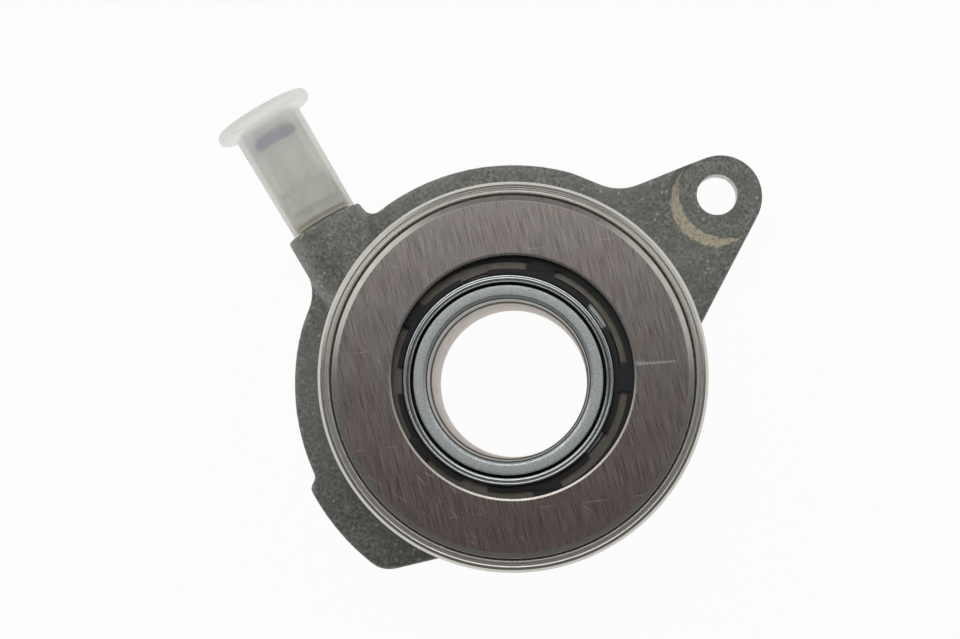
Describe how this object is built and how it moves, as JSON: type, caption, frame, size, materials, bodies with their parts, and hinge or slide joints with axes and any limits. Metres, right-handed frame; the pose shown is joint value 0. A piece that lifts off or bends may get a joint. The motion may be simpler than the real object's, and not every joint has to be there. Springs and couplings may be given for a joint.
{
  "type": "concentric slave cylinder",
  "caption": "Ring-shaped hydraulic clutch release unit: cast housing with bolt ear and inlet boss, guide sleeve, ring piston, preload spring, boot and release ball bearing.",
  "frame": {"origin": "middle of the unit's footprint, on the plane of the housing's mounting face", "axes": "+Z along the gearbox input shaft, from the gearbox towards the clutch; +X and +Y right and up as the unit is seen from the clutch, with the bolt ear at upper right and the inlet at upper left"},
  "size_m": [0.1094, 0.0976, 0.05],
  "materials": {
    "cast_aluminium": "die cast, dull, oil-dark in the rough",
    "sleeve_steel": "drawn tube, turned flange",
    "zinc_steel": "bright zinc plate",
    "spring_steel": "oiled spring steel",
    "bearing_steel": "brushed, lightly scratched",
    "pressed_steel": "pressed and rolled sheet",
    "ball_steel": "polished",
    "plated_steel": "turned and plated",
    "copper_alloy": "stamped",
    "black_rubber": "moulded",
    "blue_rubber": "moulded",
    "black_plastic": "glass-filled, moulded",
    "white_plastic": "moulded",
    "milky_plastic": "translucent, soft"
  },
  "bodies": {
    "housing": {"housing": "cast_aluminium", "guide_sleeve": "sleeve_steel", "foot_seal": "black_rubber", "preload_spring": "spring_steel", "dust_boot": "black_rubber", "inlet_fitting": "plated_steel", "port_washer": "copper_alloy", "fitting_o_ring": "blue_rubber"},
    "cap": {"transport_cap": "milky_plastic"},
    "piston": {"piston": "black_plastic", "piston_seal": "black_rubber", "seal_support_ring": "white_plastic", "spring_cup": "zinc_steel", "centring_ring": "black_plastic", "retaining_ring": "zinc_steel"},
    "wave_washer": {"wave_washer": "spring_steel"},
    "bearing_inner": {"bearing_inner_ring": "bearing_steel"},
    "bearing_outer": {"bearing_outer_ring": "bearing_steel", "bearing_shell": "pressed_steel", "bearing_seal": "black_rubber"},
    "cage_set": {"ball_cage": "black_plastic", "ball_01": "ball_steel", "ball_02": "ball_steel", "ball_03": "ball_steel", "ball_04": "ball_steel", "ball_05": "ball_steel", "ball_06": "ball_steel", "ball_07": "ball_steel", "ball_08": "ball_steel", "ball_09": "ball_steel", "ball_10": "ball_steel", "ball_11": "ball_steel", "ball_12": "ball_steel", "ball_13": "ball_steel", "ball_14": "ball_steel", "ball_15": "ball_steel", "ball_16": "ball_steel"}
  },
  "joints": [
    {"name": "piston_stroke", "type": "slide", "parent": "housing", "child": "piston", "axis": [0, 0, 1], "range_m": [-0.012, 0], "stiffness_N_per_m": 2000, "springref_m": 0.005, "deforming": ["preload_spring", "dust_boot"]},
    {"name": "bearing_float_x", "type": "slide", "parent": "piston", "child": "wave_washer", "axis": [1, 0, 0], "range_m": [-0.00177, 0.00007]},
    {"name": "bearing_float_y", "type": "slide", "parent": "wave_washer", "child": "bearing_inner", "axis": [0, 1, 0], "range_m": [-0.00152, 0.00032]},
    {"name": "bearing_spin", "type": "hinge", "parent": "bearing_inner", "child": "bearing_outer", "pos_m": [0.00539, -0.01081, 0.043], "axis": [0, 0, 1], "continuous": true},
    {"name": "cage_spin", "type": "hinge", "parent": "bearing_inner", "child": "cage_set", "pos_m": [0.00539, -0.01081, 0.043], "axis": [0, 0, 1], "continuous": true},
    {"name": "cap_pull", "type": "slide", "parent": "housing", "child": "cap", "axis": [-0.509, 0.8607, 0], "range_m": [0, 0.026]}
  ],
  "couplings": [
    {"joint": "cage_spin", "follows": "bearing_spin", "ratio": 0.534}
  ]
}
